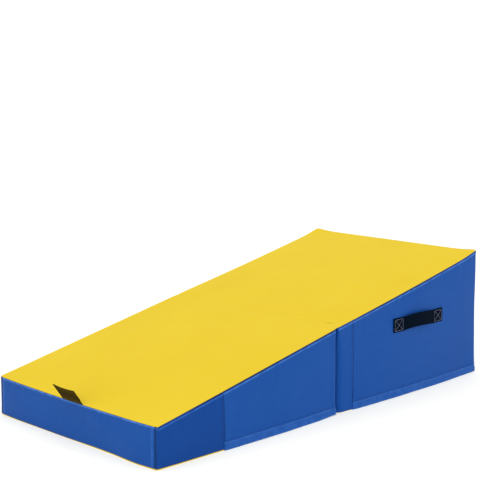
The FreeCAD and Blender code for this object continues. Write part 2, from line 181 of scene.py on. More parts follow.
class Block:
    """One padded block: its plan, its seam, and how much each of its faces swells."""

    def __init__(self, name, low, high, seam, rounds, swell, seed):
        self.name = name
        self.x0, self.x1 = low[0], high[0]
        self.fold_high = bool(self.x1 < FOLD[0])  # the fold is at the block's high-x side
        self.end_x, self.fold_x = (self.x0, self.x1) if self.fold_high else (self.x1, self.x0)
        self.end_way = -1.0 if self.fold_high else 1.0
        self.seam = seam  # upright seam of the sides, beyond which the foot has a zip
        self.rounds = rounds  # radius in plan: at the end, by the fold at the top, and deeper down
        self.swell = swell
        self.bow = {part: sizes[self.fold_high] for part, sizes in BOWS.items()}
        self.seed = seed
        self.crowns = {}

    def plan(self, u, v, depth=0.0):
        """Rounds the corners of the plan at a depth below the top edge.

        Gives x, y and the outward direction in plan.
        """
        near_low = u - self.x0 < self.x1 - u
        end, fold_top, fold_deep = self.rounds
        by_fold = fold_top + (fold_deep - fold_top) * smooth(4, 80, depth)
        radius = np.where(near_low == self.fold_high, end, by_fold)
        du, dv = np.minimum(u - self.x0, self.x1 - u), HALF - np.abs(v)
        corner, a, b, out_u, out_v = round_corner(du, dv, radius)
        sign_u = np.where(near_low, -1.0, 1.0)
        sign_v = np.where(v < 0, -1.0, 1.0)
        x = np.where(corner, np.where(near_low, self.x0, self.x1) - sign_u * (radius - a), u)
        y = np.where(corner, sign_v * (HALF - radius + b), v)
        nx = np.where(corner, sign_u * out_u, np.where(du < dv, sign_u, 0.0))
        ny = np.where(corner, sign_v * out_v, np.where(du < dv, 0.0, sign_v))
        return x, y, nx, ny

    def zipped(self, x):
        """1 where the wall has a zip along its foot."""
        return smooth(self.seam - 0.6, self.seam + 0.6, x)

    def settle(self, p):
        """Slow bows and lifts of the whole cover, as a field over space."""
        x, y, z = p.T
        bow = self.bow
        along = np.clip((x - self.x0) / (self.x1 - self.x0), 0, 1)
        across = np.clip(y / HALF, -1, 1)
        below = np.maximum(top_z(x) - z, 0)
        near_end = np.abs(x - self.end_x)
        near_fold = np.abs(x - self.fold_x)
        near_side = HALF - np.abs(y)
        by_end = np.exp(-near_end / BOW_REACH)
        end = by_end * (1 - across**2)
        side = np.exp(-near_side.clip(0) / BOW_REACH) * (1 - (2 * along - 1) ** 2)
        at_end = np.exp(-(near_end**2 + near_side**2) / CORNER_REACH**2)
        at_fold = np.exp(-(near_fold**2 + near_side**2) / CORNER_REACH**2)
        spread = at_end * bow["spread"] * np.exp(-z / 90)
        foot = bow["foot_right"] * bump(y + 235, 62) + bow["foot_left"] * bump(y - 235, 62)
        out_x = end * (bow["end_top"] * np.exp(-below / 55) + bow["end_foot"] * np.exp(-z / 60))
        out_x += by_end * foot * np.exp(-z / 50) + spread
        out_y = side * bow["side_foot"] * np.exp(-z / 70) + spread
        out_y -= at_fold * bow["tuck"] * (0.35 + 0.65 * np.exp(-z / 60))
        up = at_end * (bow["peak"] * np.exp(-below / 30) + bow["lift_end"] * np.exp(-z / 22))
        up += at_fold * bow["lift_fold"] * np.exp(-z / 22)
        up -= end * bow["end_sag"] * np.exp(-below / 40)
        near_top = np.exp(-below / 60) * np.exp(-near_side.clip(0) / 90)
        up -= bow["side_sag"] * np.sin(math.pi * along) * near_top
        if self.fold_high:
            up -= 1.7 * bump(z - BASE_SEAM, 2.2) * end * smooth(-90, 60, y)
        return np.stack([self.end_way * out_x, np.sign(y) * out_y, up], 1)

    def crown(self, face, a, b):
        """Swell of a face, from the simulated cover, at shares a and b of its two ways."""
        grid = self.crowns[face]
        rows, cols = grid.shape
        i = np.clip(a, 0, 1) * (rows - 1)
        j = np.clip(b, 0, 1) * (cols - 1)
        i0 = np.minimum(i.astype(int), rows - 2)
        j0 = np.minimum(j.astype(int), cols - 2)
        s, t = i - i0, j - j0
        low = grid[i0, j0] * (1 - t) + grid[i0, j0 + 1] * t
        high = grid[i0 + 1, j0] * (1 - t) + grid[i0 + 1, j0 + 1] * t
        return (low * (1 - s) + high * s) * self.swell[face]

    def wall(self, u, v, z, out=0.0, recess=True):
        """Points on the wall at plan places u, v and heights z, out millimetres proud of it."""
        u, v, z = np.broadcast_arrays(*(np.asarray(q, float) for q in (u, v, z)))
        x, y, nx, ny = self.plan(u, v, top_z(u) - z)
        full = top_z(x)
        h = full - z
        fold_wall = smooth(0.5, 0.9, -nx * self.end_way)
        round_top = EDGE_ROUND * (1 - fold_wall) + 0.5 * fold_wall
        zipped = self.zipped(x)
        round_foot = BASE_ROUND * (1 - zipped) + ZIP_FOOT_ROUND * zipped
        back_top, down = round_edge(h, round_top, 1)
        back_foot, rise = round_edge(z, round_foot, 1)
        height = np.where(h < round_top, full - down, z)
        height = np.where(z < round_foot, rise, height)
        share = np.clip(z / full, 0, 1)
        along = (x - self.x0) / (self.x1 - self.x0)
        across = (y / HALF + 1) / 2
        swell = np.zeros_like(z)
        for face, weight, way in (
            ("right", np.clip(-ny, 0, 1), along),
            ("left", np.clip(ny, 0, 1), along),
            ("low_x", np.clip(-nx, 0, 1), across),
            ("high_x", np.clip(nx, 0, 1), across),
        ):
            swell += weight**2 * self.crown(face, way, share)
        place = np.stack([x, y, height], 1)
        calm = self.calm(place)
        soft = 1 - 0.8 * fold_wall
        d = swell * calm + 0.55 * ripple(place, 170, self.seed) * calm * soft
        d = d * smooth(0, 30, h) * (0.3 + 0.7 * smooth(0, 40, z))
        run = np.where(np.abs(nx) > np.abs(ny), y + 3 * HALF, x)
        pucker = 0.7 * (0.3 + 0.7 * calm) * np.exp(-((h - 13).clip(0)) / 16) * smooth(3, 10, h)
        d += pucker * gather(run, self.seed + 3) * soft
        d += 0.4 * gather(run, self.seed + 4) * np.exp(-z / 22) * smooth(4, 12, z) * soft
        edge = 1 - fold_wall
        lower = 0.9 * np.abs(ny)
        d -= edge * 1.3 * bump(h - TOP_SEAM - lower, 0.9 + 0.5 * lower)
        d += edge * 0.9 * bump(h - TOP_SEAM - 2.9 - 1.4 * lower, 2.0)
        if self.fold_high:
            d += (1 - zipped) * (0.5 * bump(z - BASE_SEAM - 3, 2.0) - 0.8 * bump(z - BASE_SEAM, 0.8))
        seam_gap = x - self.seam
        on_side = smooth(0.6, 0.9, np.abs(ny))
        d += on_side * (0.5 * bump(seam_gap + 3.6, 2.2) - 0.7 * bump(seam_gap, 1.1))
        d += on_side * 0.5 * gather(z, self.seed + 5) * bump(np.abs(seam_gap) - 9, 7)
        past, width = self.past_seam(u, v), self.bow["corner_seam_width"]
        d += 0.9 * bump(past + 3 + 1.6 * width, 2.6) - 1.4 * bump(past, width)
        fold_gap = np.abs(u - self.fold_x)
        d += self.bow["fold_roll"] * on_side * bump(fold_gap - 11, 8) * smooth(6, 40, h)
        d += self.bow["foot_puff"] * zipped * smooth(13, 24, z) * np.exp(-(z - 24).clip(0) / 32)
        held = place[:, :2] - RECESS * np.stack([nx, ny], 1)
        d += out - back_top - back_foot
        place[:, 0] += nx * d
        place[:, 1] += ny * d
        place += self.settle(place)
        if recess:
            inside = zipped * smooth(0.8, 1.3, z) * (1 - smooth(HEM - 1.2, HEM, z))
            place[:, :2] = place[:, :2] * (1 - inside[:, None]) + held * inside[:, None]
        return place, np.stack([nx, ny, np.zeros_like(nx)], 1)

    def past_seam(self, u, v):
        """Run past the outer corner's upright seam, from the end's face (negative) to the side's."""
        return np.abs(u - self.end_x) - (HALF - np.abs(v)) - self.bow["corner_seam"]

    def calm(self, place):
        """0 where the end is held flat, behind the patch or the hanging tab, rising to 1 away from them."""
        half, low = PATCH_HIGH[1], PATCH_LOW[2]
        if self.fold_high:
            half, low = TAB_WIDTH / 2, TAB_AXIS[2] - TAB_LENGTH
        gap_y = np.abs(place[:, 1]) - (half + 4)
        gap_z = low - 8 - place[:, 2]
        held = (1 - smooth(0, 60, gap_y)) * (1 - smooth(0, 50, gap_z))
        return 1 - held * np.exp(-np.abs(place[:, 0] - self.end_x) / 12)

    def top(self, u, v):
        """Points on the top face."""
        u, v = np.asarray(u, float), np.asarray(v, float)
        down = np.zeros_like(u)
        moved = []
        sides = (
            (u - self.x0, EDGE_ROUND if self.fold_high else 0.5),
            (self.x1 - u, 0.5 if self.fold_high else EDGE_ROUND),
            (v + HALF, EDGE_ROUND),
            (HALF - v, EDGE_ROUND),
        )
        for gap, radius in sides:
            inset, drop = round_edge(gap, radius, -1)
            down = np.maximum(down, drop)
            moved.append(np.where(gap < radius, inset, gap))
        uu = np.where(moved[0] < moved[1], self.x0 + moved[0], self.x1 - moved[1])
        vv = np.where(moved[2] < moved[3], moved[2] - HALF, HALF - moved[3])
        x, y, _, _ = self.plan(uu, vv)
        near_side, near_end = HALF - np.abs(y), np.abs(x - self.end_x)
        gap = np.minimum(near_side, near_end)
        place = np.stack([x, y, top_z(x) - down], 1)
        along = (x - self.x0) / (self.x1 - self.x0)
        lift = self.crown("top", along, (y / HALF + 1) / 2)
        lift += (0.35 * ripple(place, 210, 77) + 0.12 * ripple(place, 70, 78)) * smooth(0, 25, gap)
        run = np.where(near_end < near_side, y + 3 * HALF, x)
        lift += 0.35 * gather(run, self.seed + 6) * np.exp(-((gap - 12).clip(0)) / 14) * smooth(2, 9, gap)
        place[:, 2] += lift + fold_crease(x, y)
        place += self.settle(place)
        return place

    def base(self, u, v):
        """Points on the underside, inset like the foot of the wall."""
        x, y, nx, ny = self.plan(u, v, top_z(u))
        zipped = self.zipped(x)
        radius = BASE_ROUND * (1 - zipped) + ZIP_FOOT_ROUND * zipped
        gap = np.minimum(HALF - np.abs(v), np.minimum(u - self.x0, self.x1 - u))
        inset, rise = round_edge(gap, radius, -1)
        inset = np.where(gap < radius, inset - gap, 0)
        place = np.stack([x - nx * inset, y - ny * inset, rise], 1)
        place += self.settle(place)
        return place


def fold_pinch(y):
    """Where the crease along the fold is sharp: near the right side, and again further in."""
    return bump(HALF + y - 40, 13) + 0.3 * bump(HALF + y - 205, 20)


def fold_crease(x, y):
    """Shallow sag over the gap between the blocks, with a crease uphill of it and a faint one downhill."""
    gap = x - FOLD[0]
    painted_highlight = 0.6 + 0.4 * np.sin(y / 47 + 1.3 * np.sin(y / 83))
    sag = -0.45 * bump(gap - 4, 9)
    pinch = fold_pinch(y)
    crease = -(0.16 * painted_highlight + pinch) * bump(gap - CREASE_AT, 2.4)
    second = -0.12 * painted_highlight * bump(gap + 9 + 4 * np.sin(y / 120), 2.6)
    return sag + crease + second + 0.3 * pinch * bump(gap - 9, 4)


TALL = Block(
    "tall",
    TALL_LOW,
    TALL_HIGH,
    seam=node_box("tall_inner_band")[1][0],
    rounds=(6.0, 6.0, 18.0),
    swell={"right": 4.6, "left": 4.6, "low_x": 0.7, "high_x": 4.2, "top": 1.3},
    seed=11,
)
THIN = Block(
    "thin",
    THIN_LOW,
    THIN_HIGH,
    seam=node_box("thin_inner_band")[0][0],
    rounds=(5.0, 6.0, 8.0),
    swell={"right": 3.4, "left": 3.4, "low_x": 2.4, "high_x": 0.7, "top": 1.3},
    seed=29,
)


# ---- meshes ----
def add_object(name, data):
    obj = bpy.data.objects.new(name, data)
    bpy.context.scene.collection.objects.link(obj)
    return obj


def make_object(name, points, faces, materials=(), face_slots=None):
    """Mesh object from millimetre points."""
    mesh = bpy.data.meshes.new(name)
    mesh.from_pydata((np.asarray(points) / 1000).tolist(), [], [tuple(map(int, f)) for f in faces])
    obj = add_object(name, mesh)
    for material in materials:
        mesh.materials.append(material)
    if face_slots is not None:
        mesh.polygons.foreach_set("material_index", np.asarray(face_slots, np.int32))
    mesh.polygons.foreach_set("use_smooth", np.ones(len(mesh.polygons), bool))
    mesh.update()
    return obj


def add_attribute(obj, name, values):
    layer = obj.data.attributes.new(name, "FLOAT", "POINT")
    layer.data.foreach_set("value", np.asarray(values, np.float32))


def merge(parts):
    """One point list and face list from several."""
    points, faces, start = [], [], 0
    for p, f in parts:
        points.append(np.asarray(p, float))
        faces += [[i + start for i in face] for face in f]
        start += len(p)
    return np.concatenate(points), faces


def grid_faces(rows, cols, close_rows=False, close_cols=False):
    faces = []
    for i in range(rows if close_rows else rows - 1):
        for j in range(cols if close_cols else cols - 1):
            a, b = i * cols + j, i * cols + (j + 1) % cols
            c, d = ((i + 1) % rows) * cols + (j + 1) % cols, ((i + 1) % rows) * cols + j
            faces.append([a, b, c, d])
    return faces


def shell_faces(rows, cols):
    """Faces of a thin shell: one grid of points, a second one under it, and the rim between them."""
    near = grid_faces(rows, cols)
    under = rows * cols
    faces = near + [[i + under for i in face[::-1]] for face in near]
    rim = [i * cols for i in range(rows)] + [(rows - 1) * cols + j for j in range(1, cols)]
    rim += [i * cols + cols - 1 for i in range(rows - 2, -1, -1)] + list(range(cols - 2, 0, -1))
    return faces + [[a, b, b + under, a + under] for a, b in zip(rim, rim[1:] + rim[:1])]


def lattice_lines(low, high, extra=()):
    """Mesh lines between two places: close together at both ends and at the extra places."""
    lines = {round(low + n, 4) for n in NEAR_EDGE} | {round(high - n, 4) for n in NEAR_EDGE}
    lines |= {round(place + n, 4) for place in extra for n in NEAR_SEAM}
    lines = sorted(lines)
    filled = [lines[0]]
    for nxt in lines[1:]:
        start = filled[-1]
        count = max(1, math.ceil((nxt - start) / STEP))
        filled += [start + (nxt - start) * k / count for k in range(1, count + 1)]
    return np.array(filled)


def surface_cells(nx, ny, nz):
    """Lattice triples on a box's surface, and its quads with a tag for the face."""
    index, triples = {}, []

    def at(i, j, k):
        if (i, j, k) not in index:
            index[i, j, k] = len(triples)
            triples.append((i, j, k))
        return index[i, j, k]

    quads, tags = [], []

    def add(tag, *corners):
        quads.append([at(*corner) for corner in corners])
        tags.append(tag)

    for i in range(nx):
        for j in range(ny):
            add("top", (i, j, nz), (i + 1, j, nz), (i + 1, j + 1, nz), (i, j + 1, nz))
            add("base", (i, j, 0), (i, j + 1, 0), (i + 1, j + 1, 0), (i + 1, j, 0))
    for k in range(nz):
        for i in range(nx):
            add("right", (i, 0, k), (i + 1, 0, k), (i + 1, 0, k + 1), (i, 0, k + 1))
            add("left", (i + 1, ny, k), (i, ny, k), (i, ny, k + 1), (i + 1, ny, k + 1))
        for j in range(ny):
            add("low_x", (0, j + 1, k), (0, j, k), (0, j, k + 1), (0, j + 1, k + 1))
            add("high_x", (nx, j, k), (nx, j + 1, k), (nx, j + 1, k + 1), (nx, j, k + 1))
    return np.array(triples), quads, tags


# ---- cloth simulation: how the cover swells between its seams ----
LAST_FRAME = 20
CLOTH = {
    "quality": 6,
    "mass": 0.6,
    "tension_stiffness": 40,
    "compression_stiffness": 40,
    "shear_stiffness": 20,
    "bending_stiffness": 4,
    "use_pressure": True,
    "uniform_pressure_force": 4,
}


def simulate_crowns(block, cells=(30, 30, 14)):
    """Inflates a light closed cover pinned along its seams, and keeps how each face swells."""
    nx, ny, nz = cells
    triples, quads, _ = surface_cells(nx, ny, nz)
    share = triples / np.array(cells)
    x = block.x0 + share[:, 0] * (block.x1 - block.x0)
    y = -HALF + share[:, 1] * 2 * HALF
    points = np.stack([x, y, share[:, 2] * top_z(x)], 1)
    obj = make_object(block.name + "_swell", points, quads)
    on_seam = ((triples == 0) | (triples == np.array(cells))).sum(1) >= 2
    group = obj.vertex_groups.new(name="seams")
    group.add([int(i) for i in np.nonzero(on_seam)[0]], 1.0, "REPLACE")
    cloth = obj.modifiers.new("Cloth", "CLOTH")
    for key, value in CLOTH.items():
        setattr(cloth.settings, key, value)
    cloth.settings.effector_weights.gravity = 0
    cloth.settings.vertex_group_mass = "seams"
    cloth.point_cache.frame_start, cloth.point_cache.frame_end = 1, LAST_FRAME
    scene = bpy.context.scene
    for step in range(1, LAST_FRAME + 1):
        scene.frame_set(step)
    done = obj.evaluated_get(bpy.context.evaluated_depsgraph_get())
    swollen = np.array([v.co for v in done.data.vertices]) * 1000 - points
    scene.frame_set(1)
    bpy.data.objects.remove(obj)
    tilt = math.hypot(SLOPE, 1)
    for face, axis, side, way in (
        ("top", 2, nz, (-SLOPE / tilt, 0, 1 / tilt)),
        ("right", 1, 0, (0, -1, 0)),
        ("left", 1, ny, (0, 1, 0)),
        ("low_x", 0, 0, (-1, 0, 0)),
        ("high_x", 0, nx, (1, 0, 0)),
    ):
        mask = triples[:, axis] == side
        a, b = (k for k in range(3) if k != axis)
        grid = np.zeros((cells[a] + 1, cells[b] + 1))
        rows = triples[mask]
        values = swollen[mask] @ way
        grid[rows[:, a], rows[:, b]] = values
        grid = np.maximum(grid, 0)
        block.crowns[face] = grid / max(grid.max(), 1e-6)


# ---- materials ----
class Look:
    """A material in the making, with short ways to add to its node tree."""

    def __init__(self, name, roughness, specular=0.5):
        self.material = bpy.data.materials.new(name)
        self.material.use_nodes = True
        self.tree = self.material.node_tree
        self.inputs = self.tree.nodes["Principled BSDF"].inputs
        self.inputs["Roughness"].default_value = roughness
        self.inputs["Specular IOR Level"].default_value = specular

    def feed(self, socket, value):
        """Links a node's output to a socket, or sets the socket's own value."""
        if isinstance(value, bpy.types.NodeSocket):
            self.tree.links.new(value, socket)
        else:
            socket.default_value = value

    def add(self, kind, inputs=(), **settings):
        made = self.tree.nodes.new("ShaderNode" + kind)
        for key, value in settings.items():
            setattr(made, key, value)
        for key, value in dict(inputs).items():
            self.feed(made.inputs[key], value)
        return made

    def where(self):
        return self.add("TexCoord").outputs["Object"]

    def turned(self, where, **inputs):
        return self.add("Mapping", {"Vector": where, **inputs}).outputs[0]

    def stored(self, name):
        return self.add("Attribute", attribute_name=name).outputs["Fac"]

    def noise(self, where, scale, detail=2.0, roughness=0.5):
        inputs = {"Vector": where, "Scale": scale, "Detail": detail, "Roughness": roughness}
        return self.add("TexNoise", inputs).outputs["Fac"]

    def product(self, a, b):
        return self.add("Math", {0: a, 1: b}, operation="MULTIPLY").outputs[0]

    def total(self, a, b):
        return self.add("Math", {0: a, 1: b}, operation="ADD").outputs[0]

    def mix(self, factor, a, b):
        return self.add("Mix", {0: factor, 6: a, 7: b}, data_type="RGBA").outputs[2]

    def ramp(self, value, low, high, out_low=0.0, out_high=1.0):
        return self.add("MapRange", {0: value, 1: low, 2: high, 3: out_low, 4: out_high}).outputs[0]

    def relief(self, strength, distance, height, **inputs):
        inputs.update(Strength=strength, Distance=distance, Height=height)
        return self.add("Bump", inputs).outputs[0]

    def finish(self, tone, normal):
        self.feed(self.inputs["Base Color"], tone)
        self.feed(self.inputs["Normal"], normal)
        return self.material


def colour(r, g, b):
    """Linear colour from screen values of 0 to 255."""
    screen = np.array([r, g, b]) / 255
    linear = np.where(screen <= 0.04045, screen / 12.92, ((screen + 0.055) / 1.055) ** 2.4)
    return (*[float(c) for c in linear], 1.0)


def vinyl(name, base, dark, pale, roughness, gloss, grain=0.16):
    """Coated fabric: pebbled grain, a trace of the weave under it, and scuffs, with painted shade along its
    seams and painted highlights on its ridges.
    """
    look = Look(name, roughness, gloss)
    where = look.where()
    fine = look.noise(where, 60.0, 4.0)
    seam = look.stored("seam")
    tone = look.mix(look.ramp(look.noise(where, 5.0, 3.0), 0.3, 0.7, 0.0, 0.55), base, dark)
    tone = look.mix(look.ramp(fine, 0.45, 0.75, 0.0, 0.02), tone, pale)
    # painted highlight: along ridges and rolled edges the tone goes towards the pale colour, broken up by
    # fine noise
    painted_highlight = look.product(look.stored("ridge_highlight"), look.ramp(fine, 0.35, 0.65, 0.3, 0.8))
    tone = look.mix(painted_highlight, tone, pale)
    # painted shade: in seam grooves, under the rolled foot and in the fold crease the tone goes towards a
    # sixth of the dark colour
    shade = [c * 0.16 for c in dark[:3]] + [1.0]
    tone = look.mix(look.product(seam, 0.9), tone, shade)
    scratched = look.turned(where, Scale=(9.0, 70.0, 30.0), Rotation=(0.2, 0.3, 0.6))
    scuff = look.noise(scratched, 1.0, 5.0, 0.6)
    rough = look.ramp(scuff, 0.35, 0.75, roughness - 0.03, roughness + 0.06)
    look.feed(look.inputs["Roughness"], look.total(rough, look.product(seam, 0.2)))
    pebble = look.add("TexVoronoi", {"Vector": where, "Scale": 620.0}, feature="SMOOTH_F1")
    weave = look.product(look.noise(where, 1500.0, 1.0), 0.35)
    small = look.relief(grain, 0.0005, look.total(pebble.outputs["Distance"], weave))
    soft = look.relief(0.12, 0.002, look.noise(where, 26.0, 3.0), Normal=small)
    return look.finish(tone, soft)


def webbing(name, base, pale):
    """Woven strap: two crossing sets of diagonal ribs, with a little fuzz."""
    look = Look(name, 0.8, 0.02)
    where = look.where()
    ribs = {"Vector": look.turned(where, Rotation=(0.0, math.radians(38), 0.0))}
    ribs.update(Scale=150.0, Distortion=0.6, Detail=1.0)
    first, second = (look.add("TexWave", ribs, bands_direction=way).outputs["Fac"] for way in "XZ")
    fuzz = look.product(look.noise(where, 900.0, 3.0), 0.5)
    lit = look.ramp(look.total(look.product(first, second), fuzz), 0.2, 1.2)
    return look.finish(look.mix(lit, base, pale), look.relief(0.7, 0.0006, lit))


def fuzzy(name, base, pale, scale):
    """Loop or hook pile."""
    look = Look(name, 0.9, 0.15)
    where = look.where()
    pile = look.add("TexVoronoi", {"Vector": where, "Scale": scale, "Randomness": 0.8})
    height = look.total(pile.outputs["Distance"], look.noise(where, scale * 0.5, 4.0, 0.7))
    return look.finish(look.mix(look.ramp(height, 0.4, 1.3), base, pale), look.relief(0.8, 0.001, height))


def thread(name, base, pale):
    """Twisted sewing thread."""
    look = Look(name, 0.6, 0.4)
    turned = look.turned(look.where(), Rotation=(0.5, 0.6, 0.7))
    twist = look.add("TexWave", {"Vector": turned, "Scale": 420.0, "Distortion": 1.0}).outputs["Fac"]
    return look.finish(look.mix(twist, base, pale), look.relief(0.5, 0.0003, twist))


def moulded(name, base, pale, roughness, metallic=0.0, scale=90.0):
    """Moulded plastic or cast metal with fine wear."""
    look = Look(name, roughness)
    look.inputs["Metallic"].default_value = metallic
    where = look.where()
    wear = look.noise(where, scale, 5.0, 0.6)
    look.feed(look.inputs["Roughness"], look.ramp(wear, 0.3, 0.7, roughness - 0.08, roughness + 0.12))
    relief = look.relief(0.3, 0.0003, look.noise(where, 1800.0, 2.0))
    return look.finish(look.mix(look.ramp(wear, 0.4, 0.7), base, pale), relief)


# The third colour of each vinyl is mostly its painted highlight on ridges and rolled edges, and faintly
# random flecks.
YELLOWS = colour(222, 192, 38), colour(217, 186, 30), colour(230, 204, 76)
BLUES = colour(14, 73, 151), colour(11, 69, 145), colour(88, 144, 230)
DEEP_BLUES = colour(6, 62, 137), colour(4, 58, 131), colour(62, 116, 208)
YELLOW = vinyl("vinyl_yellow", *YELLOWS, roughness=0.55, gloss=0.05, grain=0.12)
BLUE = vinyl("vinyl_blue", *BLUES, roughness=0.46, gloss=0.09)
BLUE_DEEP = vinyl("vinyl_blue_deep", *DEEP_BLUES, roughness=0.46, gloss=0.08)
BLACK_WEBBING = webbing("webbing_black", colour(2, 11, 25), colour(7, 21, 37))
OLIVE_WEBBING = webbing("webbing_olive", colour(52, 40, 2), colour(82, 66, 8))
HOOKS = fuzzy("hook_black", colour(10, 10, 10), colour(44, 44, 46), 900.0)
LOOPS = fuzzy("loop_black", colour(8, 9, 12), colour(44, 46, 52), 520.0)
GREY_THREAD = thread("thread_grey", colour(108, 112, 138), colour(160, 164, 188))
BLUE_THREAD = thread("thread_blue", colour(20, 78, 165), colour(80, 130, 210))
DARK_THREAD = thread("thread_dark", colour(4, 30, 90), colour(30, 70, 150))
BLACK_THREAD = thread("thread_black", colour(8, 8, 8), colour(40, 38, 32))
ZIP_TAPE = webbing("zip_tape_blue", colour(8, 34, 90), colour(30, 66, 140))
ZIP_COIL = moulded("zip_coil_blue", colour(10, 38, 98), colour(40, 72, 145), 0.4, scale=300.0)
ZIP_METAL = moulded("zip_slider_metal", colour(150, 150, 152), colour(190, 190, 192), 0.32, 1.0)


# ---- block covers ----
def build_cover(block):
    """The whole cover as one closed mesh: yellow top and base, blue walls."""
    xs = lattice_lines(block.x0, block.x1, [block.seam])
    ys = lattice_lines(-HALF, HALF)
    middle = 14 if block.fold_high else 24
    middles = [(m + 1) / (middle + 1) for m in range(middle)]
    # heights of the mesh rows, as a share of the block's height at the place plus an offset
    rows = [(0, foot) for foot in FOOT_ROWS]
    rows += [(m, FOOT_ROWS[-1] * (1 - m) - TOP_ROWS[-1] * m) for m in middles]
    rows += [(1, -depth) for depth in reversed(TOP_ROWS)]
    triples, quads, tags = surface_cells(len(xs) - 1, len(ys) - 1, len(rows) - 1)
    u, v = xs[triples[:, 0]], ys[triples[:, 1]]
    tall = top_z(u)
    share, offset = np.array(rows)[triples[:, 2]].T
    z = share * tall + offset
    is_top, is_base = triples[:, 2] == len(rows) - 1, triples[:, 2] == 0
    on_wall = ~is_top & ~is_base
    points = np.zeros((len(triples), 3))
    points[on_wall] = block.wall(u[on_wall], v[on_wall], z[on_wall])[0]
    points[is_top] = block.top(u[is_top], v[is_top])
    points[is_base] = block.base(u[is_base], v[is_base])
    slots = []
    for quad, tag in zip(quads, tags):
        depth = (tall[quad] - z[quad]).mean()
        plain = block.fold_high and u[quad].mean() < block.seam
        if tag in ("top", "base") or depth < TOP_SEAM or (plain and z[quad].mean() < BASE_SEAM):
            slots.append(0)
        else:
            slots.append(2 if plain and tag in ("right", "left") else 1)
    obj = make_object(block.name + "_cover", points, quads, (YELLOW, BLUE, BLUE_DEEP), slots)
    mark_seams(obj, block, u, v, z, on_wall, is_top)
    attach(obj, block.name + "_block")
    return obj


def mark_seams(obj, block, u, v, z, on_wall, is_top):
    """Stores where a cover gets painted shade along its seams, rolled foot and fold crease, and painted
    highlights along its ridges.
    """
    depth = top_z(u) - z
    seen_wall = on_wall & (np.abs(u - block.fold_x) >= 0.01)
    end_wall = np.abs(u - block.end_x) < 0.01
    side_gap = np.where(np.abs(np.abs(v) - HALF) < 0.01, np.abs(u - block.seam), 99)
    if block.fold_high:
        shade = 0.5 + 0.5 * smooth(block.x0 + 50, block.x0 + 190, u)
    else:
        shade = 0.35 + 0.65 * np.sin(math.pi * np.clip((u - block.x0) / (block.x1 - block.x0), 0, 1))
    shade *= 0.88 + 0.12 * np.sin(u / 53 + block.seed) * np.sin(u / 131)
    # painted shade: a dark line in the groove just under the top edge, faint on the end and varying in
    # strength along the sides
    edge = np.where(end_wall, 0.35 * bump(depth - TOP_SEAM, 0.8), shade * bump(depth - 3.8, 2.3))
    # painted shade along the base seam of the thin block's plain walls, and under its end's rolled-under
    # foot
    foot = np.where(u < block.seam, bump(z - BASE_SEAM, 0.7), 0)
    rolled_under = np.where(end_wall, 0.9 * smooth(-10, 90, v) * bump(z - 1.3, 1.9), 0)
    foot = np.where(on_wall & block.fold_high, np.maximum(foot, rolled_under), 0)
    past, width = block.past_seam(u, v), block.bow["corner_seam_width"]
    # painted shade in the outer corner's upright seam and in the sides' upright seam
    upright = np.maximum(0.85 * bump(past, width), 0.8 * bump(side_gap, 1.2))
    # painted shade in the crease beside the fold
    creased = 0.4 * fold_pinch(v) * bump(u - FOLD[0] - CREASE_AT, 2.2)
    parts = [(seen_wall, edge), (on_wall, foot), (on_wall, upright), (is_top, creased)]
    seam = np.maximum.reduce([np.where(where, value, 0) for where, value in parts])
    add_attribute(obj, "seam", np.clip(seam, 0, 1))
    # painted highlights just under the top seam and beside the outer corner's upright seam
    ridge_highlight = bump(depth - np.where(end_wall, 4.2, 8.0), 1.7)
    corner = 0.5 * bump(past + 3 + 1.6 * width, 2.2)
    ridge_highlight = np.maximum(np.where(seen_wall, ridge_highlight, 0), np.where(on_wall, corner, 0))
    add_attribute(obj, "ridge_highlight", np.clip(ridge_highlight, 0, 1))


def hinge_strip():
    """The top sheet where it bridges the gap between the blocks."""
    ys = lattice_lines(-HALF, HALF)
    low, high = THIN.x1, TALL.x0
    left = THIN.top(np.full(len(ys), low), ys)
    right = TALL.top(np.full(len(ys), high), ys)
    sags = [fold_crease(line[:, 0], line[:, 1]) for line in (left, right)]
    rows = []
    for share in np.linspace(0, 1, 13):
        line = left * (1 - share) + right * share
        line[:, 2] += fold_crease(line[:, 0], line[:, 1]) - (1 - share) * sags[0] - share * sags[1]
        rows.append(line)
    upper = np.concatenate(rows)
    points = np.concatenate([upper, upper - [0, 0, COVER]])
    faces = [face[::-1] for face in shell_faces(len(rows), len(ys))]
    obj = make_object("fold_strip", points, faces, (YELLOW,))
    add_attribute(obj, "seam", np.zeros(len(points)))
    add_attribute(obj, "ridge_highlight", np.zeros(len(points)))
    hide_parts("fold_hinge_strip")
    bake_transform(obj)


# ---- stitches ----
def stitch_shape(length, width, height):
    """Low rounded bar along X, standing on Z = 0 with its ends sunk."""
    rings, sides = 6, 8
    t, angle = np.meshgrid(np.linspace(-1, 1, rings), np.arange(sides) * 2 * math.pi / sides, indexing="ij")
    swell = np.sqrt(1 - t**2) * 0.9 + 0.1
    across = np.cos(angle) * width / 2 * swell
    up = (np.sin(angle) * 0.5 + 0.15) * height * swell
    faces = [face[::-1] for face in grid_faces(rings, sides, close_cols=True)]
    faces += [list(range(sides)), list(range((rings - 1) * sides, rings * sides))[::-1]]
    return np.stack([t * length / 2, across, up], 2).reshape(-1, 3), faces


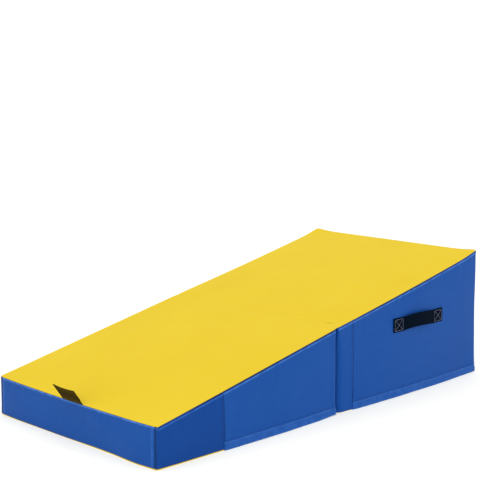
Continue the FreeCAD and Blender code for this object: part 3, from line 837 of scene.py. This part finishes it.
def stitch_run(path, normals, pitch=4.0, length=3.0, width=0.8, height=0.6):
    """Stitches along a path of points lying on a surface."""
    path, normals = np.asarray(path), np.asarray(normals)
    steps = np.linalg.norm(np.diff(path, axis=0), axis=1)
    run = np.concatenate([[0], np.cumsum(steps)])
    shape, faces = stitch_shape(length, width, height)

    def at(place, values):
        return np.array([np.interp(place, run, values[:, k]) for k in range(3)])

    parts = []
    for place in np.arange(pitch / 2, run[-1] - pitch / 4, pitch):
        way = at(place + 1, path) - at(place - 1, path)
        way /= max(np.linalg.norm(way), 1e-9)
        up = at(place, normals)
        up -= way * (up @ way)
        up /= max(np.linalg.norm(up), 1e-9)
        parts.append((at(place, path) + shape @ np.array([way, np.cross(up, way), up]), faces))
    return parts


def thread_object(name, parts, material, body):
    points, faces = merge(parts)
    obj = make_object(name, points, faces, (material,))
    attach(obj, body)
    return obj


# ---- zip flaps ----
def zip_route(block, spacing=5.0):
    """Plan places round the zipped walls, from the right seam round the uphill end to the left seam."""
    x1 = block.x1
    near = [0, 1.4, 3.0, 5.0, 7.5, 11.0, 15.5]
    right = [(x, -HALF) for x in np.arange(block.seam, x1 - 20, spacing)]
    right += [(x1 - n, -HALF) for n in reversed(near)]
    across = [(x1, -HALF + n) for n in near[1:]]
    across += [(x1, y) for y in np.linspace(-HALF + 20, HALF - 20, 116)]
    across += [(x1, HALF - n) for n in reversed(near[1:])]
    left = [(x, HALF) for x, _ in reversed(right)]
    return np.array(right + across + left)


def build_flap(block):
    """Storm flap: sewn on above the zip, hanging over it, a little flared and wavy along its free edge."""
    route = zip_route(block)
    u, v = route[:, 0], route[:, 1]
    run = np.concatenate([[0], np.cumsum(np.hypot(np.diff(u), np.diff(v)))])
    free = smooth(0, 7, run) * smooth(0, 7, run[-1] - run)
    along = np.clip((u - block.seam) / (block.x1 - block.seam), 0, 1)
    on_side = smooth(HALF - 12, HALF, np.abs(v))
    to_left = smooth(HALF - 40, HALF - 5, v)
    flare = on_side * 3.2 * np.sin(math.pi * along**1.2) ** 0.8
    flare += (1 - on_side) * (0.0 if block.fold_high else 1.6) * (1 - (v / HALF) ** 2)
    flare += (np.sin(run / 41 + block.seed) * 0.4 + np.sin(run / 17 + 2 * block.seed) * 0.2) * on_side
    droop = 0.3 + 0.3 * np.sin(run / 57 + 1.7) + 0.2 * np.sin(run / 23)
    # section of the flap: (height, distance out of the wall), down its outside and up its inside
    outer = [(23.2, 0.0), (23.0, 0.6), (21.8, 0.9), (20.0, 0.5), (18.4, 0.9), (16.4, 1.3), (14.2, 2.3)]
    outer += [(11.8, 2.8), (8.5, 3.0), (4.5, 3.1), (1.6, 3.1), (0.9, 2.8)]
    inner = [(0.9, 2.4), (1.6, 2.15), (5.0, 2.15), (9.0, 2.1), (12.0, 1.85), (14.0, 1.3), (16.4, 0.35)]
    inner += [(19.0, 0.0)]
    rows, seam, ridge_highlight = [], [], []
    for z, out in outer + inner:
        high = np.full(len(u), max(z, HEM + 3.0))
        place, _ = block.wall(u, v, high, recess=False)
        proud, _ = block.wall(u, v, high, out=1.0, recess=False)
        hang = (18 - min(z, 18)) / 17
        shell = 0.9 if (z, out) in outer and out > 0.9 else 0.0
        stand = out if out <= 0.9 else shell + (out - shell) * free
        stand = stand + hang * free * (np.maximum(flare, 0) + 1.1 * to_left * min(1, 3 * hang))
        point = place + (proud - place) * np.broadcast_to(stand, u.shape)[:, None]
        point[:, 2] += z - high - droop * hang * min(z, 1)
        foot = np.column_stack([place[:, :2], np.full(len(u), z)])
        point[:, 2] += block.settle(foot)[:, 2] - block.settle(place)[:, 2]
        rows.append(point)
        # painted shade along the flap's stitch line; painted highlights on its hem, on its fold below the
        # seam and on its standing-out band
        seam += [0.45 if z == FLAP_LINE and out > 0 else 0.0] * len(u)
        lit = 0.5 if out > 2.5 and z < 2 else 0.45 if z == 18.4 else 0.16 if out > 1 else 0.0
        ridge_highlight += [lit] * len(u)
    n, m = len(rows), len(route)
    faces = grid_faces(n, m, close_rows=True)
    faces += [[i * m for i in range(n)], [i * m + m - 1 for i in range(n)][::-1]]
    obj = make_object(f"{block.name}_flap", np.concatenate(rows), faces, (BLUE,))
    add_attribute(obj, "seam", seam)
    add_attribute(obj, "ridge_highlight", ridge_highlight)
    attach(obj, f"{block.name}_block")
    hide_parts(f"{block.name}_zip_flap")
    place, way = block.wall(u, v, np.full(len(u), FLAP_LINE), out=0.45, recess=False)
    stitches = stitch_run(place, way, pitch=4.6, length=3.5, width=0.75)
    body = f"{block.name}_block"
    thread_object(f"{block.name}_flap_stitching", stitches, BLUE_THREAD, body)


def seam_stitching(block):
    """Topstitching beside the upright seam on both sides."""
    parts = []
    for side in (-HALF, HALF):
        top = top_z(block.seam) - 9
        z = np.arange(27.0, top, 3.0)
        u = np.full(len(z), block.seam - 4.2)
        place, way = block.wall(u, np.full(len(z), side), z, out=0.05)
        parts += stitch_run(place, way, pitch=5.2, length=3.6, width=0.9)
    body = f"{block.name}_block"
    thread_object(f"{block.name}_seam_stitching", parts, DARK_THREAD, body)


# ---- carry handles ----
WEBBING_THICK = 1.6


def sweep_strap(path, outs, half_width, thickness, lifts):
    """Flat strap along a path of (x, y, z) middles, outs being its outward directions."""
    w = np.linspace(-1, 1, 13)
    selvedge = 1 + 0.16 * bump(np.abs(w) - 0.93, 0.05)
    t = 0.5 * selvedge * (1 - 0.75 * smooth(0.965, 1.0, np.abs(w)))
    w, t = np.concatenate([w, w[::-1]]), np.concatenate([t, -t[::-1]])
    cloud = path[:, None] + outs[:, None] * (t * thickness)[:, None]
    cloud[..., 2] += w * half_width + lifts[:, None]
    n, m = cloud.shape[:2]
    faces = grid_faces(n, m, close_cols=True)
    faces.append(list(range(m))[::-1])
    faces.append([(n - 1) * m + j for j in range(m)])
    return cloud.reshape(-1, 3), faces


def build_handle(side, side_name):
    """Webbing handle on one side: folded-under ends, box-and-cross stitching, and a slack grip."""
    low, high = STRAP_LOW[0], STRAP_HIGH[0]
    mid_z = (STRAP_LOW[2] + STRAP_HIGH[2]) / 2
    half = (STRAP_HIGH[2] - STRAP_LOW[2]) / 2
    pad = 42.0  # length of a sewn end
    ground, _ = TALL.wall(np.linspace(low, high, 9), np.full(9, side * HALF), np.full(9, mid_z))

    def floor_y(x):
        return np.interp(x, ground[:, 0], ground[:, 1])

    def slack(x):
        """Share of the way along the loose grip."""
        return np.clip((x - low - pad) / (high - low - 2 * pad), 0, 1)

    def folded_end(x_end, inward):
        """(x, out) along one end of the webbing: under the pad, then round the fold."""
        under = [(x_end + inward * n, 0.75) for n in np.linspace(pad, 1.2, 12)]
        turns = np.radians(np.linspace(-60, 60, 7))
        fold = np.stack([x_end + inward * 0.9 * (1 - np.cos(turns)), 1.6 + 0.85 * np.sin(turns)], 1)
        return np.concatenate([under, fold])

    grip = np.linspace(low + 1.2, high - 1.2, 70)
    over = np.column_stack([grip, 2.45 + 7.6 * np.sin(math.pi * slack(grip)) ** 0.75])
    xs, outs_mm = np.concatenate([folded_end(low, 1), over, folded_end(high, -1)[::-1]]).T
    lifts = 5.4 * np.sin(math.pi * slack(xs) ** 0.8)
    path = np.stack([xs, floor_y(xs) + side * outs_mm, np.full(len(xs), mid_z)], 1)
    ways = np.gradient(path, axis=0)
    outs = np.stack([-ways[:, 1], ways[:, 0], np.zeros(len(xs))], 1) * side
    outs /= np.linalg.norm(outs, axis=1, keepdims=True)
    points, faces = sweep_strap(path, outs, half, WEBBING_THICK, lifts)
    obj = make_object(f"handle_{side_name}", points, faces, (BLACK_WEBBING,))
    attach(obj, "tall_block")
    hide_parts(f"handle_strap_{side_name}")
    parts = []
    margin = 4.0
    way = np.array([[0, side, 0]])
    for x0, x1 in ((low + margin, low + pad - margin), (high - pad + margin, high - margin)):
        z0, z1 = mid_z - half + margin, mid_z + half - margin
        corners = [(x0, z0), (x1, z0), (x1, z1), (x0, z1)]
        lines = list(zip(corners, corners[1:] + corners[:1]))
        lines += [(corners[0], corners[2]), (corners[1], corners[3])]
        for (xa, za), (xb, zb) in lines:
            t = np.linspace(0, 1, 12)
            x = xa + (xb - xa) * t
            place = np.stack([x, floor_y(x) + side * 3.2, za + (zb - za) * t], 1)
            parts += stitch_run(place, np.repeat(way, 12, 0), pitch=3.9, length=3.2, width=0.85, height=0.8)
    name = f"handle_stitching_{side_name}"
    stitches = thread_object(name + "_thread", parts, GREY_THREAD, "tall_block")
    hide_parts(name)


# ---- closing tab and patch ----
HOOK_WAY = np.array([math.cos(TAB_LEAN), 0, math.sin(TAB_LEAN)])


def soft_plate(width, length, thickness, radius, shape, cells=(40, 26)):
    """Thin plate with round corners and rolled edges; shape gives the places.

    Its values are the place across, the place along, the height over the middle and the gap to the edge.
    """
    shares = [np.sin(np.linspace(-1, 1, count) * math.pi / 2) for count in cells]
    across, along = np.meshgrid(shares[0] * width / 2, (shares[1] + 1) * length / 2, indexing="ij")
    gap_side, gap_end = width / 2 - np.abs(across), np.minimum(along, length - along)
    corner, a, b, _, _ = round_corner(gap_side, gap_end, radius)
    w = np.where(corner, np.sign(across) * (width / 2 - radius + a), across)
    round_end = np.where(along < length / 2, radius - b, length - radius + b)
    run = np.where(corner, round_end, along)
    edge = np.minimum(gap_side, gap_end)
    half_thick = thickness / 2 * (1 - 0.75 * (1 - smooth(0, 1.6, edge)))
    layers = [shape(*(q.ravel() for q in (w, run, sign * half_thick, edge))) for sign in (1, -1)]
    return np.concatenate(layers), shell_faces(*cells)


def tab_place(w, run, t):
    """Place on the tab: w across, run out from its bending line, t towards the hook side.

    It leans as the frame's tab does, curls outward towards its free edge, and one corner curls more.
    """
    far = np.clip(run / TAB_LENGTH, 0, 1.05)
    off_middle = w / (TAB_WIDTH / 2)
    corner = smooth(0.25, 1.0, off_middle) * smooth(0.35, 1.0, far)
    dip = smooth(0.5, 1.0, far) * (1 - off_middle**2)
    curl = 0.3 * far**2.2 + 0.2 * corner
    up = np.array([-math.sin(TAB_LEAN), 0, math.cos(TAB_LEAN)])
    base = np.stack([np.full_like(w, TAB_AXIS[0]), w, np.full_like(w, TAB_AXIS[2])], 1)
    reach = run + 2.5 * corner - 3.2 * dip * far
    return base + reach[:, None] * up + (t - curl)[:, None] * HOOK_WAY


def build_tab():
    width, length = TAB_WIDTH - 2, TAB_LENGTH

    def weave(w, run, t, _):
        return tab_place(w, run - TAB_ROOT, t + 0.12 * np.sin(w * 1.9) * np.sin(run * 1.9))

    points, faces = soft_plate(width, length + TAB_ROOT, 1.2, 2.0, weave)
    backing = make_object("tab_backing", points, faces, (OLIVE_WEBBING,))
    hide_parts("closure_tab", "closure_tab_root")
    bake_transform(backing)
    hook = node_box("closure_hook_tape")
    hook_width = hook[1][1] - hook[0][1]
    points, faces = soft_plate(
        hook_width - 1, 35.0, 1.1, 2.5, lambda w, run, t, _: tab_place(w, run + 7.5, t + 1.16)
    )
    tape = make_object("tab_hooks", points, faces, (HOOKS,))
    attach(tape, "closure_tab")
    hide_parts("closure_hook_tape")
    rim = rim_path(width / 2 - 3.2, 6.0, length - 3.2)
    place = tab_place(rim[:, 0], rim[:, 1], np.full(len(rim), -0.6))
    parts = stitch_run(place, np.repeat(-HOOK_WAY[None], len(rim), 0))
    thread_object("tab_stitching", parts, BLACK_THREAD, "closure_tab")


def rim_path(half, low, high, count=60):
    """Closed rectangle of (across, along) places."""
    corners = np.array([(-half, low), (-half, high), (half, high), (half, low), (-half, low)], float)
    t = np.linspace(0, 4, 4 * count + 1)
    return np.stack([np.interp(t, range(5), corners[:, k]) for k in (0, 1)], 1)


def build_patch():
    width = PATCH_HIGH[1] - PATCH_LOW[1]
    height = PATCH_HIGH[2] - PATCH_LOW[2]
    thick = PATCH_HIGH[0] - PATCH_LOW[0]

    def place(w, run, t, edge):
        pile = 0.10 * np.sin(w * 2.3 + 1.1 * np.sin(run * 1.7)) * np.sin(run * 2.1) * smooth(1.5, 4, edge)
        sewn = -0.45 * bump(edge - 2.6, 0.9)
        x = PATCH_LOW[0] + thick / 2 - 0.05 + t + (t > 0) * (pile + sewn)
        return np.stack([x, w, PATCH_LOW[2] + run], 1)

    points, faces = soft_plate(width, height, thick, 2.2, place, cells=(90, 54))
    patch = make_object("loop_patch", points, faces, (LOOPS,))
    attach(patch, "tall_block")
    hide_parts("closure_loop_patch")
    rim = rim_path(width / 2 - 2.6, 2.6, height - 2.6)
    spot = np.stack([np.full(len(rim), PATCH_HIGH[0] - 0.5), rim[:, 0], PATCH_LOW[2] + rim[:, 1]], 1)
    parts = stitch_run(spot, np.repeat([[1.0, 0, 0]], len(rim), 0))
    thread_object("patch_stitching", parts, BLACK_THREAD, "tall_block")


# ---- what stays of the frame, with finished materials ----
def dress(node, material):
    obj = frame["nodes"][node]
    if not obj.material_slots:
        obj.data.materials.append(material)
    for held in obj.material_slots:
        held.material = material


def dress_frame():
    for block in ("tall", "thin"):
        for half in ("upper", "lower"):
            dress(f"{block}_zip_tape_{half}", ZIP_TAPE)
            dress(f"{block}_zip_coil_{half}", ZIP_COIL)
        dress(f"{block}_zip_stop", ZIP_METAL)
        dress(f"{block}_zip_slider", ZIP_METAL)
    for side in ("right", "left"):
        dress(f"handle_backing_{side}", BLACK_WEBBING)


def replaced_by_cover(prefix):
    kinds = ("foam_plank", "top_panel", "base_panel", "side_panel", "end_panel", "inner_band")
    return [n for n in frame["nodes"] if n.startswith(prefix + "_") and any(k in n for k in kinds)]


# ---- studio: the floor in millimetres, the rest in metres ----
FLOOR_HALF = 30000.0
FLOOR_Z = -0.2
LIGHT_AIM = Vector((0, 0, 0.1))
LIGHTS = (  # name, place, diameter, watts
    ("key", (-2.6, -1.2, 3.0), 2.4, 15),
    ("fill", (1.4, -3.6, 2.2), 2.4, 8),
    ("back", (2.6, 2.6, 3.4), 2.6, 0.8),
)
CAMERA_PLACE = (-2.3096, -2.2823, 0.9237)
CAMERA_YAW, CAMERA_PITCH = math.radians(45.11), math.radians(-8.77)
CAMERA_LENS = 91.96


def build_studio():
    corners = ((-1, -1), (1, -1), (1, 1), (-1, 1))
    places = [(x * FLOOR_HALF, y * FLOOR_HALF, FLOOR_Z) for x, y in corners]
    floor = make_object("floor", places, [[0, 1, 2, 3]])
    look = Look("studio_floor", 0.9, 0.1)
    look.inputs["Base Color"].default_value = (0.72, 0.72, 0.66, 1)
    look.inputs["Emission Color"].default_value = (1, 1, 1, 1)
    look.inputs["Emission Strength"].default_value = 0.36
    floor.data.materials.append(look.material)
    world = bpy.data.worlds.new("studio")
    world.use_nodes = True
    sky = world.node_tree.nodes["Background"]
    sky.inputs["Color"].default_value = (1, 1, 1, 1)
    sky.inputs["Strength"].default_value = 1.12
    bpy.context.scene.world = world
    for name, place, size, power in LIGHTS:
        light = bpy.data.lights.new(name, "AREA")
        light.shape = "DISK"
        light.size = size
        light.energy = power
        obj = add_object(name, light)
        obj.location = place
        obj.rotation_euler = (LIGHT_AIM - Vector(place)).to_track_quat("-Z", "Y").to_euler()


def build_camera():
    data = bpy.data.cameras.new("camera")
    data.sensor_width = 36.0
    data.lens = CAMERA_LENS
    obj = add_object("camera", data)
    obj.location = CAMERA_PLACE
    flat = math.cos(CAMERA_PITCH)
    way = Vector((flat * math.cos(CAMERA_YAW), flat * math.sin(CAMERA_YAW), math.sin(CAMERA_PITCH)))
    obj.rotation_euler = way.to_track_quat("-Z", "Y").to_euler()
    bpy.context.scene.camera = obj


build_camera()
build_studio()
for block in (TALL, THIN):
    simulate_crowns(block)
    cover = build_cover(block)
    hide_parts(*replaced_by_cover(block.name))
    build_flap(block)
    seam_stitching(block)
hinge_strip()
build_handle(-1, "right")
build_handle(1, "left")
build_tab()
build_patch()
dress_frame()
bpy.context.scene.view_settings.view_transform = "Standard"
